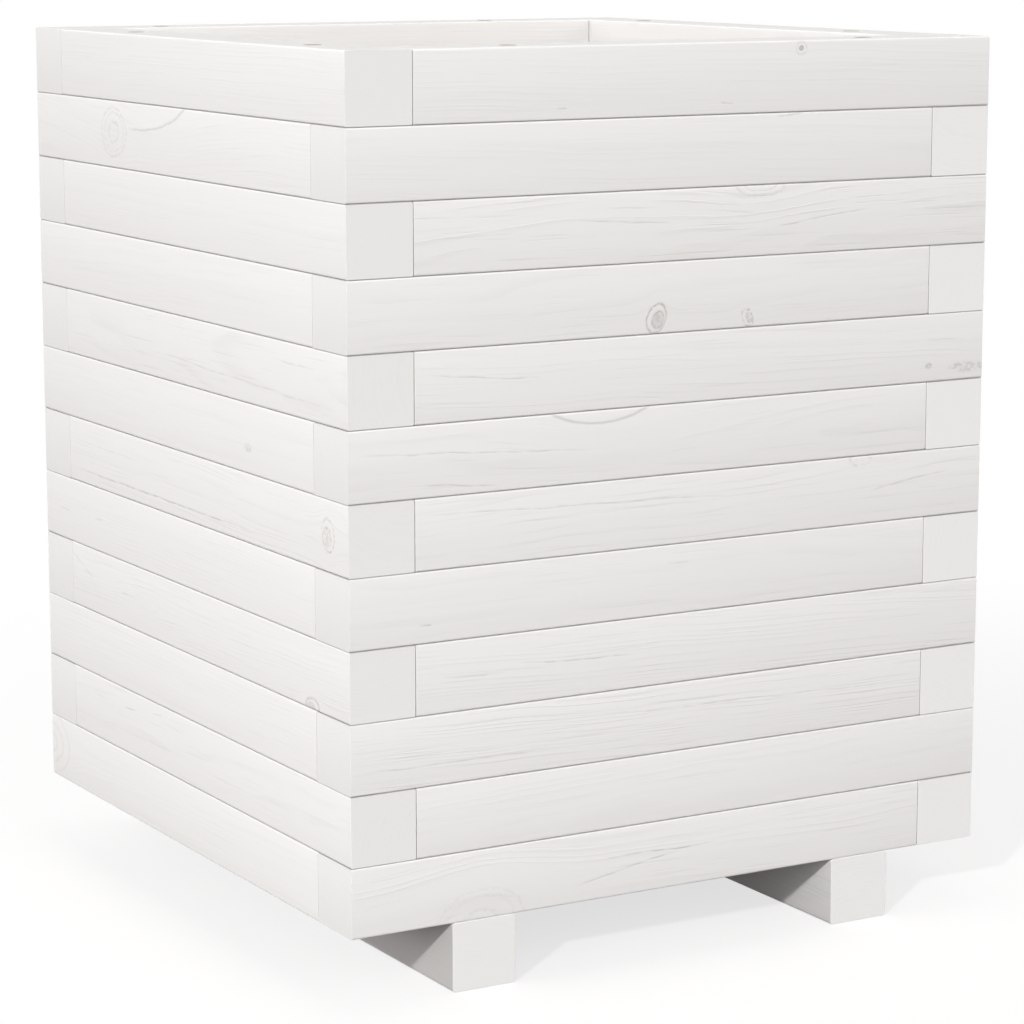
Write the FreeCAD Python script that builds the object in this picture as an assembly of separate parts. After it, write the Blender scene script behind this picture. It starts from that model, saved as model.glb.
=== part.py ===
import FreeCAD, Part
import math
import os

# A square garden planter of stacked, screwed pine beams on two cross feet.
# X runs along the front, Y from the front to the back and Z up.
# The origin is on the ground, under the middle of the box. All lengths are millimetres.

# Outside of the box of beams
box_width = 400.0
box_depth = 400.0

# Wall beams: one size of planed timber, four to a course
beam_width = 38.0
beam_height = 38.0
course_count = 12
beam_arris_radius = 1.0
butt_gap = 0.5

# Screw holes along a wall beam, from its free end and from its butted end
free_end_to_hole = 72.5
butt_end_to_hole = 65.5
counterbore_radius = 5.0
counterbore_depth = 10.0
head_above_seat = 1.0

# Feet: two timbers from front to back, flush with both faces of the box
foot_width = 38.0
foot_height = 38.0
foot_arris_radius = 2.0
foot_spacing = 243.0
foot_inner_side_to_screw = 10.0

# Floor boards: they lie across the feet, inside the walls
board_thickness = 15.0
board_arris_radius = 1.0
board_count = 4
drain_gap = 6.0
board_wall_gap = 1.0

# Screws: countersunk heads, driven into undrilled wood. A thread is given by its outer radius
beam_screw_length = 60.0
beam_screw_head_radius = 4.4
beam_screw_shank_radius = 2.25
beam_screw_point = 8.0
board_screw_length = 32.0
board_screw_head_radius = 4.0
board_screw_shank_radius = 2.0
board_screw_point = 6.0
board_screw_sink = 0.4

# Round forms repeat hundreds of times, so flats stand for them
arris_flats = 3
hole_sides = 16
screw_sides = 8

# Cutters stand this far outside the face they cut
overrun = 2.0

# Places worked out from the sizes above
half_width = box_width / 2
half_depth = box_depth / 2
side_wall_line = half_width - beam_width / 2
end_wall_line = half_depth - beam_width / 2
clear_width = box_width - 2 * beam_width
clear_depth = box_depth - 2 * beam_width
foot_line = foot_spacing / 2
board_length = clear_width - 2 * board_wall_gap
board_room = clear_depth - 2 * board_wall_gap - (board_count - 1) * drain_gap
board_width = board_room / board_count

UP = FreeCAD.Vector(0, 0, 1)

# Where each wall stands, as steps from the middle, and which way its beams point in a
# right-handed course: from the butted end to the free end
WALLS = {
    "front": {"offset": (0, -1), "heading": (1, 0)},
    "right": {"offset": (1, 0), "heading": (0, 1)},
    "back": {"offset": (0, 1), "heading": (-1, 0)},
    "left": {"offset": (-1, 0), "heading": (0, -1)},
}


# Flat-sided solids

def flat_face(corners):
    """Plane face through its corners, or None where they all meet in a point."""
    apart = [a for a, b in zip(corners, corners[1:] + corners[:1]) if a != b]
    if len(apart) < 3:
        return None
    return Part.Face(Part.makePolygon(apart + apart[:1]))


def turned(profile, sides):
    """Solid turned round the Z axis, in flats. The profile is (radius, z) from the top down."""
    turns = [2 * math.pi * i / sides for i in range(sides)]
    rings = [[FreeCAD.Vector(r * math.cos(t), r * math.sin(t), z) for t in turns]
             for r, z in profile]
    faces = [flat_face(rings[0]), flat_face(rings[-1])]
    for upper, lower in zip(rings, rings[1:]):
        for i in range(sides):
            faces.append(flat_face([upper[i - 1], upper[i], lower[i], lower[i - 1]]))
    return Part.Solid(Part.Shell([face for face in faces if face]))


# Timber

def eased_outline(width, height, radius):
    """Rectangle in the YZ plane, standing on z = 0, with its four corners rounded."""
    points = []
    for corner in range(4):
        across = 1 if corner in (0, 3) else -1
        upward = 1 if corner in (0, 1) else -1
        middle_y = across * (width / 2 - radius)
        middle_z = height / 2 + upward * (height / 2 - radius)
        for step in range(arris_flats + 1):
            turn = (corner + step / arris_flats) * math.pi / 2
            points.append(FreeCAD.Vector(0, middle_y + radius * math.cos(turn),
                                         middle_z + radius * math.sin(turn)))
    return Part.makePolygon(points + points[:1])


def timber(length, width, height, arris_radius):
    """Planed timber with eased arrises and square-sawn ends, from x = -length to x = 0."""
    face = Part.Face(eased_outline(width, height, arris_radius))
    return face.extrude(FreeCAD.Vector(-length, 0, 0))


def counterbore():
    """Cutter for the flat-bottomed hole that a screw head is sunk in, its mouth at z = 0."""
    profile = [(counterbore_radius, overrun), (counterbore_radius, -counterbore_depth)]
    return turned(profile, hole_sides)


def countersink():
    """Cutter for the cone that a board screw's head lies in, its mouth at z = 0.

    Its walls stand at 45 degrees, so the head's cone lies on them when its top is sunk.
    """
    mouth_radius = board_screw_head_radius + board_screw_sink
    cone_depth = mouth_radius - board_screw_shank_radius
    profile = [(mouth_radius + overrun, overrun), (board_screw_shank_radius, -cone_depth)]
    return turned(profile, hole_sides)


def hole_places(length):
    """Distances of the two screw holes from a wall beam's free end."""
    return [free_end_to_hole, length - butt_end_to_hole]


def wall_beam(length):
    """Wall beam with its free end at x = 0 and a counterbored hole near each end."""
    beam = timber(length, beam_width, beam_height, beam_arris_radius)
    return beam.cut([moved(counterbore(), -x, 0, beam_height) for x in hole_places(length)])


# Screws

def screw(length, head_radius, shank_radius, point_length):
    """Wood screw, point down, with a 90 degree head whose top has its middle at the origin."""
    head_height = head_radius - shank_radius
    profile = [
        (head_radius, 0),
        (shank_radius, -head_height),
        (shank_radius, point_length - length),
        (0, -length),
    ]
    return turned(profile, screw_sides)


def beam_screw():
    """The long screw that holds a beam to the one under it, and a foot to the box."""
    return screw(beam_screw_length, beam_screw_head_radius, beam_screw_shank_radius,
                 beam_screw_point)


def board_screw():
    """The short screw that holds a floor board to a foot."""
    return screw(board_screw_length, board_screw_head_radius, board_screw_shank_radius,
                 board_screw_point)


# Placing

def course_base(course):
    """Height of a course's underside. Course 1 lies on the feet."""
    return foot_height + (course - 1) * beam_height


def wall_placement(wall, course):
    """Where a wall beam's free end goes, and the way it points.

    Each beam butts against the next one round the box. The courses turn right-handed and
    left-handed by turns, so that no end joint lies over another.
    """
    offset_x, offset_y = WALLS[wall]["offset"]
    heading_x, heading_y = WALLS[wall]["heading"]
    if course % 2:
        heading_x, heading_y = -heading_x, -heading_y
    x = offset_x * side_wall_line + heading_x * half_width
    y = offset_y * end_wall_line + heading_y * half_depth
    turn = FreeCAD.Rotation(UP, math.degrees(math.atan2(heading_y, heading_x)))
    return FreeCAD.Placement(FreeCAD.Vector(x, y, course_base(course)), turn)


def wall_length(wall):
    """Length of a wall's beams: they stop short of the beam that they butt against."""
    outside = box_width if WALLS[wall]["heading"][0] else box_depth
    return outside - beam_width - butt_gap


def placed(shape, place):
    """Copy of a shape at a placement."""
    copy = shape.copy()
    copy.Placement = place
    return copy


def moved(shape, x, y, z):
    """Copy of a shape moved from the origin."""
    return placed(shape, FreeCAD.Placement(FreeCAD.Vector(x, y, z), FreeCAD.Rotation()))


# The walls: twelve courses of four beams, and the screws of every course but the lowest

def wall_beams():
    """Every wall beam by its node's name, the courses numbered upwards from the feet."""
    beams = {}
    for wall in WALLS:
        beam = wall_beam(wall_length(wall))
        for course in range(1, course_count + 1):
            beams[f"course_{course:02d}_{wall}"] = placed(beam, wall_placement(wall, course))
    return beams


def wall_screws():
    """Two screws down through each beam into the course below."""
    screws = []
    head_level = beam_height - counterbore_depth + head_above_seat
    for wall in WALLS:
        for course in range(2, course_count + 1):
            place = wall_placement(wall, course)
            for x in hole_places(wall_length(wall)):
                seat = FreeCAD.Placement(FreeCAD.Vector(-x, 0, head_level), FreeCAD.Rotation())
                screws.append(placed(beam_screw(), place.multiply(seat)))
    return screws


# The feet and the screws that come up through them into the lowest course

def foot_screw_places(side, level):
    """Head-down placements for one foot's screws or holes, under the front and back walls."""
    x = side * (foot_line - foot_width / 2 + foot_inner_side_to_screw)
    head_down = FreeCAD.Rotation(FreeCAD.Vector(1, 0, 0), 180)
    return [FreeCAD.Placement(FreeCAD.Vector(x, y, level), head_down)
            for y in (-end_wall_line, end_wall_line)]


def foot(side):
    """Foot on the left (side = -1) or the right (side = 1), with a counterbore at each end."""
    bar = timber(box_depth, foot_width, foot_height, foot_arris_radius)
    back_end = FreeCAD.Vector(side * foot_line, half_depth, 0)
    bar = placed(bar, FreeCAD.Placement(back_end, FreeCAD.Rotation(UP, 90)))
    return bar.cut([placed(counterbore(), place) for place in foot_screw_places(side, 0)])


def foot_screws():
    """One screw up through each end of each foot."""
    return [placed(beam_screw(), place)
            for side in (-1, 1)
            for place in foot_screw_places(side, counterbore_depth - head_above_seat)]


# The floor: boards with drain gaps between them, and the screws that hold them to the feet

def board_line(number):
    """Middle of a floor board along Y, numbered from the front."""
    first = -clear_depth / 2 + board_wall_gap + board_width / 2
    return first + (number - 1) * (board_width + drain_gap)


def floor_boards():
    """Every floor board by its node's name."""
    board = timber(board_length, board_width, board_thickness, board_arris_radius)
    board = moved(board, board_length / 2, 0, 0)
    board = board.cut([moved(countersink(), side * foot_line, 0, board_thickness)
                       for side in (-1, 1)])
    return {f"floor_board_{number}": moved(board, 0, board_line(number), foot_height)
            for number in range(1, board_count + 1)}


def floor_screws():
    """One screw through each board into each foot, its head just below the board's face."""
    return [moved(board_screw(), side * foot_line, board_line(number),
                  foot_height + board_thickness - board_screw_sink)
            for number in range(1, board_count + 1)
            for side in (-1, 1)]


def planter():
    """Every node of the planter by name."""
    nodes = {"left_foot": foot(-1), "right_foot": foot(1)}
    nodes.update(wall_beams())
    nodes.update(floor_boards())
    nodes["beam_screws"] = Part.makeCompound(wall_screws())
    nodes["foot_screws"] = Part.makeCompound(foot_screws())
    nodes["floor_screws"] = Part.makeCompound(floor_screws())
    return nodes


os.makedirs("parts", exist_ok=True)
whole = FreeCAD.BoundBox()
for name, shape in planter().items():
    shape.exportStep(f"parts/{name}.step")
    whole.add(shape.BoundBox)
    if not shape.isValid():
        print(f"{name} is not a valid shape")
print(f"planter {whole.XLength:.1f} x {whole.YLength:.1f} x {whole.ZLength:.1f} mm")
print(f"wall beams {wall_length('front'):.1f} mm long, floor boards {board_width:.1f} mm wide")
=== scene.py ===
# %% [markdown]
# # A planter of stacked white beams
# The real object is a square garden planter. Twelve courses of planed pine beams are lapped at
# the corners, screwed together from above, set on two feet and painted white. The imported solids
# have its shape, so this lesson keeps them: it gives the timber its figure and its paint, builds
# the screws in full, and then lights and frames the whole. Lengths are metres, in the packed
# model's own frame: X runs along the front, Y from the front to the back, and Z up.

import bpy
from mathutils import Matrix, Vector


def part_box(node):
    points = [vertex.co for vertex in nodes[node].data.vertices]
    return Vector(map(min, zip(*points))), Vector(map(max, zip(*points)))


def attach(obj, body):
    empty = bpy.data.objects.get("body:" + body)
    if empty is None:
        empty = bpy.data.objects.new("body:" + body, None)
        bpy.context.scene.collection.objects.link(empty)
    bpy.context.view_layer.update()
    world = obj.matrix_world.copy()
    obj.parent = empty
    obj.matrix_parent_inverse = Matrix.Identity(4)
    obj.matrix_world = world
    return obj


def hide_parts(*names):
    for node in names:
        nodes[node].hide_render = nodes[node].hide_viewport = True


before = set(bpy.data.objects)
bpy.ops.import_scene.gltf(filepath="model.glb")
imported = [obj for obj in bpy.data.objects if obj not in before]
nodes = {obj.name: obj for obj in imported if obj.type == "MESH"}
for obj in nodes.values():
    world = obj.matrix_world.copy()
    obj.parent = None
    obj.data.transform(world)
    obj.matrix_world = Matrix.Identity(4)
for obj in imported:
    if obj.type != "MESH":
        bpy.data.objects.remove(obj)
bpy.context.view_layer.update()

# %% [markdown]
# ## Colours and nodes
# A colour is given as an sRGB code, but a shader works with linear light, so one function
# turns the one into the other. Materials are written as node trees. Each node needs its kind (what
# follows ShaderNode in its full name), its settings and its inputs, so one function does just that.
# An input is a number, another node (its first output is meant) or a socket. Every tree starts
# empty, so that nothing is in it but what the lesson puts there.

# %% Helpers
import math
import random

import bmesh
import bpy
from mathutils import Matrix, Vector

MM = 0.001


def linear(code):
    """Linear RGBA of an sRGB colour given as a hex code."""
    shares = [int(code[i:i + 2], 16) / 255 for i in (1, 3, 5)]
    light = [s / 12.92 if s <= 0.04045 else ((s + 0.055) / 1.055) ** 2.4 for s in shares]
    return light + [1.0]


def add(tree, kind, inputs=None, **settings):
    """Add one node, with its settings and its inputs by name or number."""
    node = tree.nodes.new(kind if kind.startswith("Node") else "ShaderNode" + kind)
    for name, value in settings.items():
        setattr(node, name, value)
    for name, value in (inputs or {}).items():
        if isinstance(value, bpy.types.Node):
            value = value.outputs[0]
        if isinstance(value, bpy.types.NodeSocket):
            tree.links.new(value, node.inputs[name])
        else:
            node.inputs[name].default_value = value
    return node


def blank_material(name):
    """New material with an empty node tree."""
    material = bpy.data.materials.new(name)
    material.use_nodes = True
    material.node_tree.nodes.clear()
    return material


print("white is", linear("#FFFFFF"), "and mid grey", linear("#808080")[0])

# %% [markdown]
# ## Every timber is its own piece of a tree
# No two beams were cut from the same place in a log. What differs is where the log's pith, its
# centre line, ran beside the beam, how far apart the rings grew, and where a branch left a knot.
# These are a few numbers for each timber. So are the darkenings of the paint: a painted shade on
# the outer and inner sides, which darkens the walls' inner faces and the feet's sides, where shade
# falls, and a thinner paint on some of the ends. They could be written into 54 materials, but it is
# neater to keep one material and let it read the numbers from custom properties of the object. Only
# the ends of the front and back beams, which show on the side walls, get the painted shade that
# darkens towards their lower arris.

# %% The timbers and where the log's pith ran
TIMBER_SEED = 3812
# Shares of painted shade on the outer sides and the inner sides, and of paint missing from the ends
SHADE_AND_MISSING_PAINT = {"front": (0.0, 0.10, 0.012), "right": (0.0, 0.10, 0.022),
                 "back": (0.0, 0.10, 0.044), "left": (0.0, 0.10, 0.045),
                 "foot": (0.34, 0.12, 0.025), "board": (0.0, 0.0, 0.0)}
PITH_DISTANCE_MM = (30, 85)
RING_WIDTH_MM = (2.4, 4.2)
MOST_LEAN = 0.03
draw = random.Random(TIMBER_SEED)
timbers = {name: nodes[name] for name in sorted(nodes) if not name.endswith("screws")}

for name, timber in timbers.items():
    low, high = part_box(name)
    size = high - low
    pith_way = draw.uniform(0, 2 * math.pi)
    pith_distance = draw.uniform(*PITH_DISTANCE_MM)
    timber["middle"] = list((low + high) / 2)
    timber["turn"] = -math.pi / 2 if size.y > size.x else 0.0
    timber["half_height"] = size.z / 2 / MM
    timber["pith"] = [0.0, pith_distance * math.cos(pith_way), pith_distance * math.sin(pith_way)]
    timber["lean"] = [0.0, draw.uniform(-MOST_LEAN, MOST_LEAN), draw.uniform(-MOST_LEAN, MOST_LEAN)]
    timber["ring_width"] = draw.uniform(*RING_WIDTH_MM)
    timber["seed"] = draw.uniform(0, 90)
    is_beam = name.startswith("course")
    kind = "board" if "board" in name else name.split("_")[-1]
    timber["missing_paint"] = SHADE_AND_MISSING_PAINT[kind]
    # Painted shade towards the lower arris, also on the ends of the front and back beams
    timber["ends_thin_below"] = 1.0 if kind in ("front", "back") else 0.0
    timber["joint_above"] = 1.0 if is_beam and "_12_" not in name else 0.0
    timber["joint_below"] = 1.0 if is_beam and "_01_" not in name else 0.0
print(len(timbers), "timbers, the first is", list(timbers)[0])

# %% [markdown]
# ## Knots
# A knot is a branch that the trunk grew round. Under an opaque paint it shows as a faint ringed
# spot that the grain flows round. The knots that can be seen on the real planter are listed: how
# far along the wall they lie from the planter's middle and how high above the timber's
# underside, half their length and height, how many degrees they lean, how strongly they show, how
# many rings they have, how whole their rim is, and how much of a core they have. Some have their
# middle above the beam, so only the low end of a wide curve shows, and a core of -1 leaves just
# the half of it that lies nearer the front. Two have a strength of 0: they only bend the grain.
# The feet, the floor boards and the beams of the other two walls get a knot now and then, by
# chance.

# %% The knots seen on the walls, in millimetres
KNOTS = {
    "course_12_front": [(73.9, 33.9, 0.9, 0.9, 0, 0.75, 0.0, 0.8, 0.0),
                        (73.9, 33.9, 3.4, 3.4, 0, 0.18, 0.0, 0.2, 0.0)],
    "course_11_left": [(87, 20, 17, 14, 0, 0.20, 2.5, 0.1, 0.3),
                       (56, 52, 75, 29, 0, 0.30, 0.0, 0.7, -1.0)],
    "course_10_front": [(48, 42, 34, 9, 0, 0.0, 0.0, 0.0, 0.0),
                        (49, 40, 17, 8, 0, 0.18, 3.0, 0.3, 0.0)],
    "course_09_front": [(-16.4, 8.2, 5.6, 8.0, 22, 0.55, 0.0, 0.5, 1.0),
                        (41.3, 5.2, 3.5, 5.2, -24, 0.50, 0.0, 0.0, 1.0)],
    "course_08_front": [(191, 7.0, 10, 1.8, 0, 0.34, 0.0, 0.0, 1.0),
                        (163, 9.0, 1.2, 0.8, 0, 0.50, 0.0, 0.6, 0.0)],
    "course_07_front": [(-51, 50, 38, 19, 0, 0.34, 0.0, 1.0, 0.0)],
    "course_07_left": [(-84, 14.0, 3.4, 2.0, 0, 0.30, 0.0, 0.1, 1.0)],
    "course_06_front": [(116, 42, 30, 9, 0, 0.0, 0.0, 0.0, 0.0),
                        (117, 36, 7, 3.5, 0, 0.20, 0.0, 0.0, 0.4)],
    "course_06_left": [(-177.5, 19.2, 6.8, 8.6, 10, 0.40, 0.0, 0.1, 0.9)],
    "course_04_left": [(-157.7, 0.8, 7.5, 5.0, 0, 0.40, 0.0, 0.5, 0.9),
                       (52, 19, 16, 5, 0, 0.04, 0.0, 0.0, 0.4)],
    "course_01_front": [(-124, -3, 27, 19, -8, 0.10, 2.4, 0.0, 0.0)],
    "course_01_left": [(204, 20, 30, 19, 0, 0.12, 3.0, 0.4, 0.0)],
}
CHANCE_OF_KNOT = 0.35
KNOT_RADIUS_MM = (2.5, 7.0)
KNOT_HEIGHT_MM = (4, 34)
CLEAR_OF_ENDS = 30 * MM
FAR_AWAY = (0, 5000, 1, 1, 0, 0, 0, 0, 0)

for name, timber in timbers.items():
    knots = KNOTS.get(name, [])
    low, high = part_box(name)
    lengthwise = 1 if timber["turn"] else 0
    if not name.endswith(("front", "left")) and draw.random() < CHANCE_OF_KNOT:
        first, last = low[lengthwise] + CLEAR_OF_ENDS, high[lengthwise] - CLEAR_OF_ENDS
        place = draw.uniform(first, last) / MM
        radius = draw.uniform(*KNOT_RADIUS_MM)
        flatter = radius * draw.uniform(0.7, 1.0)
        height = draw.uniform(*KNOT_HEIGHT_MM)
        knots = [(place, height, radius, flatter, 0, 0.35, 0.0, 0.3, 1.0)]
    for number, knot in enumerate((knots + [FAR_AWAY, FAR_AWAY])[:2], 1):
        place, height, half_length, half_high, lean, strength, rings, whole, core = knot
        place -= timber["middle"][lengthwise] / MM
        height -= timber["half_height"]
        timber[f"knot_{number}_place"] = [place, math.radians(lean), height]
        timber[f"knot_{number}_size"] = [half_length, core, half_high]
        timber[f"knot_{number}_kind"] = [strength, rings, whole]
print("timbers with a knot:", sum(t["knot_1_kind"][0] > 0 for t in timbers.values()))

# %% [markdown]
# ## Splits and strong lines
# A few lines stand out from the rest of the figure: fine drying splits and single latewood lines
# that the plane left standing. They too are listed, each from one point of its timber to
# another, as far along the wall from the planter's middle and as high above the underside, with
# the strength that it shows with. How clearly the whole figure shows differs from beam to beam as
# well. On the two walls that are seen it is listed from the lowest course to the rim, and the
# other timbers get it by chance.

# %% The lines seen on the walls and how clearly each figure shows
LINES = {
    "course_12_front": [(-79, 5.5, -72, 6, 0.30), (22, 6, 31, 5.5, 0.28)],
    "course_11_front": [(58, 36.2, 76, 36.8, 0.32)],
    "course_10_front": [(57, 15.6, 122, 22.5, 0.30), (-66, 23.8, -6, 19.6, 0.24)],
    "course_08_front": [(-153, 24.2, -86, 19.5, 0.28), (157, 23.5, 187, 23, 0.16)],
    "course_08_left": [(52, 15, -190, 8, 0.20), (-115, 27.5, -165, 26.5, 0.22)],
    "course_07_front": [(-200, 25.2, -52, 17.2, 0.24), (-160, 6.5, -112, 3, 0.26)],
    "course_06_front": [(-162, 29.2, 40, 23.5, 0.22), (122, 18, 180, 26, 0.26)],
    "course_06_left": [(163, 7.8, -96, 6.6, 0.42), (163, 25, 60, 24, 0.12)],
    "course_05_front": [(-160, 9.6, -152, 9.4, 0.42), (-10, 28.2, 6, 28, 0.24)],
    "course_05_left": [(181, 18.2, 163, 18, 0.20), (127, 18.6, 115, 19.4, 0.22)],
    "course_04_front": [(-101, 21.4, -27, 18, 0.28), (-146, 18.2, -107, 17.4, 0.26)],
    "course_04_left": [(162, 32.4, 130, 20, 0.24), (91, 18.4, 70, 19.2, 0.24)],
    "course_03_front": [(-200, 11.6, -75, 10.8, 0.24), (-80, 25.6, 161, 21, 0.16)],
    "course_02_left": [(91, 26.8, 70, 28, 0.26), (48, 31, 34, 32.5, 0.20)],
    "course_01_front": [(-48, 21.8, 25, 21.4, 0.42), (-67, 9, 2, 20.4, 0.32)],
}
NO_LINE = (0, 5000, 1, 5000, 0)
FIGURE_SHOWS = {
    "front": (1.4, 0.85, 1.55, 1.2, 0.8, 1.2, 1.0, 1.0, 0.9, 2.1, 0.65, 0.6),
    "left": (0.65, 1.4, 0.75, 1.1, 0.7, 1.15, 0.65, 1.6, 0.65, 0.55, 0.75, 0.7),
}

for name, timber in timbers.items():
    middle_along = timber["middle"][1 if timber["turn"] else 0] / MM
    for number, line in enumerate((LINES.get(name, []) + [NO_LINE, NO_LINE])[:2], 1):
        from_along, from_height, to_along, to_height, strength = line
        timber[f"line_{number}_from"] = [from_along - middle_along, 0.0,
                                         from_height - timber["half_height"]]
        timber[f"line_{number}_to"] = [to_along - middle_along, strength,
                                       to_height - timber["half_height"]]
    words = name.split("_")
    if words[-1] in FIGURE_SHOWS:
        timber["figure_shows"] = FIGURE_SHOWS[words[-1]][int(words[1]) - 1]
    else:
        timber["figure_shows"] = draw.uniform(0.7, 1.4)
print("listed lines:", sum(len(lines) for lines in LINES.values()))

# %% [markdown]
# ## The figure of the pine
# An image of wood would repeat on every beam and stop at every edge. A solid texture doesn't: the
# rings are worked out at each point of the timber, so the lines on a beam's face run over its
# arris on to its top, and its end shows them as arcs. The tree is one node group, so that every
# painted finish shares it. It reads each timber's own numbers from the custom properties. First it
# turns a point into millimetres along, across and up the timber, whichever way the timber lies.

# %% Where a point is in its timber
figure = bpy.data.node_groups.new("pine_figure", "ShaderNodeTree")
OWN_NUMBERS = ["turn", "half_height", "ring_width", "seed", "joint_above", "joint_below",
               "figure_shows", "ends_thin_below"]
OWN_VECTORS = ["middle", "pith", "lean", "missing_paint"]
for number in (1, 2):
    OWN_VECTORS += [f"knot_{number}_{part}" for part in ("place", "size", "kind")]
    OWN_VECTORS += [f"line_{number}_{part}" for part in ("from", "to")]
own = {}
for name in OWN_NUMBERS + OWN_VECTORS:
    reader = add(figure, "Attribute", attribute_type="OBJECT", attribute_name=name)
    own[name] = reader.outputs["Fac" if name in OWN_NUMBERS else "Vector"]
coordinates = add(figure, "TexCoord").outputs
from_middle = add(figure, "VectorMath", {0: coordinates["Object"], 1: own["middle"]},
                  operation="SUBTRACT")
turned = add(figure, "VectorRotate", {"Vector": from_middle, "Angle": own["turn"]},
             rotation_type="Z_AXIS")
point = add(figure, "VectorMath", {0: turned, "Scale": 1 / MM}, operation="SCALE")
along, across, up = add(figure, "SeparateXYZ", {0: point}).outputs
normal = add(figure, "VectorRotate", {
    "Vector": coordinates["Normal"], "Angle": own["turn"]}, rotation_type="Z_AXIS")
normal_size = add(figure, "VectorMath", {0: normal}, operation="ABSOLUTE")
faces_along, faces_across, faces_up = add(figure, "SeparateXYZ", {0: normal_size}).outputs
print("each timber brings", len(own), "numbers and vectors of its own")

# %% [markdown]
# The knots come next, because they bend the grain. A knot is a leaning ellipse, and the distance
# from its middle is counted in its own radii, so that 1 is its rim. Near it the height that the
# rings will read is pulled towards the knot's middle, and the lines drawn from it bulge round the
# knot. Noise makes the rim wander and breaks it into dashes.

# %% What makes a knot uneven
KNOT_WAVE_MM = 6.0
KNOT_WOBBLE_MM = 3.0
DASH_MM = 2.4
face_point = add(figure, "CombineXYZ", {0: along, 2: up})
knot_wave = add(figure, "TexNoise", {"Vector": point, "Scale": 1 / KNOT_WAVE_MM, "Detail": 1.0})
knot_shift = add(figure, "VectorMath", {
    0: knot_wave.outputs["Color"], 1: (0.5, 0.5, 0.5)}, operation="SUBTRACT")
knot_shift = add(figure, "VectorMath", {
    0: knot_shift, 1: (KNOT_WOBBLE_MM, 0, KNOT_WOBBLE_MM)}, operation="MULTIPLY")
dash_noise = add(figure, "TexNoise", {"Vector": point, "Scale": 1 / DASH_MM, "Detail": 1.0})
dashes = add(figure, "MapRange", {
    "Value": dash_noise, "From Min": 0.42, "From Max": 0.60, "To Min": 0.15}).outputs[0]


def soft_line(distance, at, width):
    """1 where a distance has one value, and less on both sides of it."""
    away = distance
    for step, by in (("SUBTRACT", at), ("DIVIDE", width), ("POWER", 2.0), ("MULTIPLY", -1.0)):
        away = add(figure, "Math", {0: away, 1: by}, operation=step)
    return add(figure, "Math", {0: away}, operation="EXPONENT")


print("a rim wanders by up to", KNOT_WOBBLE_MM / 2, "mm")

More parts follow.
